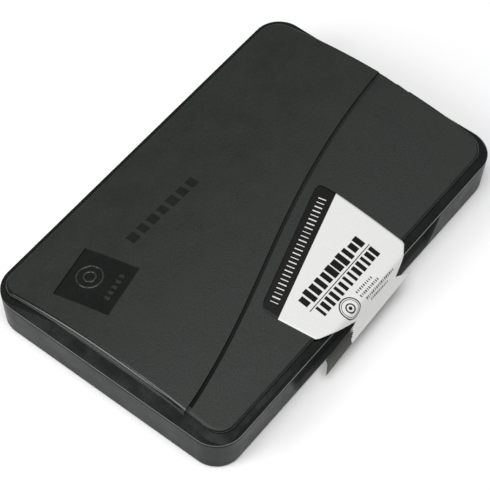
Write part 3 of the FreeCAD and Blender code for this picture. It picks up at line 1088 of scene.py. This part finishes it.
@dataclass
class LidMarks:
    """The low moulded marks on the rear panel: a plain emblem in the square and a row of blocks."""

    crown: Crown
    case: Case
    square_depth: float = 0.3
    relief: float = 0.1
    lift: float = 0.03
    thickness: float = 0.12

    def in_square(self, u: float, v: float) -> Vector:
        """A place on the square's floor.

        Args:
            u: along the square's lower side from its middle, in mm.
            v: up from its middle, in mm.

        Returns:
            The point in metres.
        """
        a = math.radians(self.case.square_turn)
        x = self.case.square_centre[0] + u * math.cos(a) - v * math.sin(a)
        y = self.case.square_centre[1] + u * math.sin(a) + v * math.cos(a)
        z = self.crown.z(y, self.crown.panel_step) - self.square_depth + self.relief
        return Vector((x, y, z)) * MM

    def on_panel(self, x: float, y: float) -> Vector:
        """A place just above the rear panel, from mm."""
        return Vector((x, y, self.crown.z(y, self.crown.panel_step) + self.lift)) * MM

    def build(self) -> list[bpy.types.Object]:
        """Builds the marks.

        Returns:
            The pieces.
        """
        gloss = MouldedPlastic("polished_mark", colour="2f322f", polished=0.16).make()
        dark = MouldedPlastic("polished_letter_band", colour="131413", polished=0.3).make()
        pieces = [
            laid_ring("emblem_ring", (0.6, 2.4), 3.5, 4.0, gloss, self.in_square),
            laid_ring("emblem_ring_inner", (0.6, 2.4), 1.5, 1.95, gloss, self.in_square, 48),
            BlockRow("emblem_marks", (-4.8, -5.6), (5.4, -5.6), 1.7, 5, 0.9, 3).placed(gloss, self.in_square),
            BlockRow("panel_marks", (-30.2, 19.6), (-1.2, 18.6), 3.4, 7, 0.9, 9).placed(dark, self.on_panel),
        ]
        for piece in pieces:
            thicken(piece, self.thickness * MM, -1.0)
            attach(piece, Body.LID.value)
            LOG.info("lid mark: %s", piece.name)
        return pieces


# ---------------------------------------------------------------- the ink pad


@dataclass
class InkPad:
    """Cloth over two felts, in the well of the base."""

    corner: float = 3.0
    corner_steps: int = 8
    cloth: float = 0.3
    flange: float = 1.25
    dome: float = 0.12
    cad_flange: float = 1.3
    felt_play: float = 0.1

    def ring(self, node_size: Flat, inset: float, z: float, wave: float = 0.0) -> list[Vector]:
        """One ring of the pad's outline.

        Args:
            node_size: length and width in mm.
            inset: how far inside the outline, in mm.
            z: height in mm.
            wave: how much the height wanders, in mm.

        Returns:
            The ring's points in metres.
        """
        length, width = node_size[0] - 2 * inset, node_size[1] - 2 * inset
        radius = max(self.corner - inset, 0.05)
        ring = outline_ring(length, width, radius, self.corner_steps)
        return [Vector((x, y, z + wave * wander(x, y, 0.7))) * MM for x, y in ring]

    def build_cloth(self) -> bpy.types.Object:
        """Builds the woven cover, stretched over the felt with its edge under the frame.

        Returns:
            The cloth.
        """
        low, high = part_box("pad_cloth")
        length = (high.x - low.x) / MM - 2 * self.cad_flange
        width = (high.y - low.y) / MM - 2 * self.cad_flange
        size, deck, top = (length, width), low.z / MM, high.z / MM
        steps = [(-self.flange, deck + 0.02), (-0.5, deck + 0.02), (-0.05, deck + 0.1), (0.0, deck + 0.4)]
        steps += [(0.0, top - 0.75), (0.12, top - 0.42), (0.4, top - 0.2), (0.9, top - self.dome - 0.02)]
        rings = [self.ring(size, d, z) for d, z in steps]
        inset = 0.9
        while inset < width / 2 - 2.5:
            inset += 1.4
            rise = self.dome * min(1.0, (inset - 0.9) / 16)
            rings.append(self.ring(size, inset, top - self.dome - 0.02 + 0.6 * rise, 0.035))
        points, faces = stacked_rings(rings, False, True)
        cloth = mesh_object("pad_cover", points, faces, [InkSoaked("inked_cotton_weave", Weave.PLAIN).make()])
        thicken(cloth, self.cloth * MM, -1.0)
        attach(cloth, Body.BASE.value)
        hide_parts("pad_cloth")
        LOG.info("pad: %s", cloth.name)
        return cloth

    def build_felt(self, node: str, name: str, material: bpy.types.Material) -> bpy.types.Object:
        """Builds one felt with soft edges.

        Args:
            node: the CAD node it stands for.
            name: the piece's name.
            material: its finish.

        Returns:
            The felt.
        """
        low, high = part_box(node)
        size = ((high.x - low.x) / MM - self.felt_play, (high.y - low.y) / MM - self.felt_play)
        z0, z1 = low.z / MM + 0.02, high.z / MM - 0.02
        tall = z1 - z0
        lower = [(1.2, 0.0), (0.5, 0.0), (0.14, 0.08), (0.02, 0.25)]
        profile = lower + [(0.0, 0.5)] + [(d, 1.0 - t) for d, t in reversed(lower)]
        rings = [self.ring(size, d, z0 + t * tall) for d, t in profile]
        inset = 1.2
        while inset < size[1] / 2 - 3.0:
            inset += 2.8
            rings.append(self.ring(size, inset, z1 - 0.05, 0.04))
        points, faces = stacked_rings(rings, True, True)
        felt = mesh_object(name, points, faces, [material])
        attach(felt, Body.BASE.value)
        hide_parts(node)
        LOG.info("pad: %s", felt.name)
        return felt

    def build(self) -> list[bpy.types.Object]:
        """Builds the pad.

        Returns:
            The pieces.
        """
        coarse = InkSoaked("inked_wool_felt_coarse", Weave.FELTED, pitch=1.4, roughness=0.8).make()
        fine = InkSoaked("inked_wool_felt_fine", Weave.FELTED, pitch=0.8, roughness=0.75).make()
        return [
            self.build_cloth(),
            self.build_felt("reservoir_felt", "felt_lower", coarse),
            self.build_felt("surface_felt", "felt_upper", fine),
        ]


# ---------------------------------------------------------------- the studio


@dataclass
class Studio:
    """Pale floor, soft lights and the camera."""

    camera_at: tuple[float, float, float] = (-0.2607, -0.1906, 0.4737)
    azimuth: float = -53.61
    elevation: float = 55.73
    roll: float = 1.96
    lens: float = 145.77
    floor_size: float = 6.0
    sky: float = 0.17

    def camera(self) -> bpy.types.Object:
        """Makes the camera and sets it as the scene's own.

        Returns:
            The camera object.
        """
        a, e, r = (math.radians(v) for v in (self.azimuth, self.elevation, self.roll))
        back = Vector((math.sin(a) * math.cos(e), -math.cos(a) * math.cos(e), math.sin(e)))
        right0 = (-back).cross(Vector((0, 0, 1))).normalized()
        up0 = right0.cross(-back)
        right = math.cos(r) * right0 + math.sin(r) * up0
        up = math.cos(r) * up0 - math.sin(r) * right0
        data = bpy.data.cameras.new("studio_camera")
        data.lens, data.sensor_width, data.sensor_fit = self.lens, 36.0, "HORIZONTAL"
        data.clip_start, data.clip_end = 0.01, 50.0
        obj = bpy.data.objects.new("studio_camera", data)
        turn = Matrix((right, up, back)).transposed().to_4x4()
        obj.matrix_world = Matrix.Translation(self.camera_at) @ turn
        bpy.context.scene.collection.objects.link(obj)
        bpy.context.scene.camera = obj
        return obj

    def light(
        self, name: str, at: Sequence[float], aim: Sequence[float], size: float, watts: float
    ) -> bpy.types.Object:
        """Adds a square softbox.

        Args:
            name: the light's name.
            at: its place.
            aim: the point it faces.
            size: its side, in metres.
            watts: its power.

        Returns:
            The light object.
        """
        data = bpy.data.lights.new(name, "AREA")
        data.shape, data.size, data.energy = "SQUARE", size, watts
        obj = bpy.data.objects.new(name, data)
        way = Vector(aim) - Vector(at)
        obj.matrix_world = Matrix.Translation(at) @ way.to_track_quat("-Z", "Y").to_matrix().to_4x4()
        bpy.context.scene.collection.objects.link(obj)
        return obj

    def build(self) -> None:
        """Builds floor, world, lights and camera."""
        material, _, shader = new_material("white_sweep", Roughness=0.9, IOR=1.3)
        shader.inputs["Base Color"].default_value = linear("fcfcfc")
        h = self.floor_size / 2
        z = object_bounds()[0][2] - 0.00005
        corners = [Vector((sx * h, sy * h, z)) for sx, sy in ((-1, -1), (1, -1), (1, 1), (-1, 1))]
        floor = mesh_object("floor", corners, [[0, 1, 2, 3]], [material])
        floor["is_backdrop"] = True
        world = bpy.data.worlds.new("studio_sky")
        world.use_nodes = True
        ground = next(n for n in world.node_tree.nodes if n.type == "BACKGROUND")
        ground.inputs["Color"].default_value = (1.0, 1.0, 1.0, 1.0)
        ground.inputs["Strength"].default_value = self.sky
        bpy.context.scene.world = world
        self.light("softbox_over", (-0.3, -0.25, 1.6), (0, 0, 0), 1.2, 23.5)
        self.light("softbox_side", (-0.55, 0.3, 0.42), (-0.03, 0, 0.015), 0.4, 2.7)
        bpy.context.scene.view_settings.view_transform = "Standard"
        self.camera()
        LOG.info("studio ready")


# ---------------------------------------------------------------- all together


def main() -> None:
    """Builds the ink pad's looks in order."""
    logging.basicConfig(level=logging.INFO, format="%(name)s: %(message)s")
    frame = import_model()
    crown = Crown()
    case = Case(crown)
    case.dress(frame["nodes"])
    pad = InkPad().build()
    label = PaperLabel(crown).build()
    marks = LidMarks(crown, case).build()
    Studio().build()
    LOG.info("%d pad pieces, %d label pieces, %d marks", len(pad), len(label), len(marks))


if __name__ == "__main__":
    main()
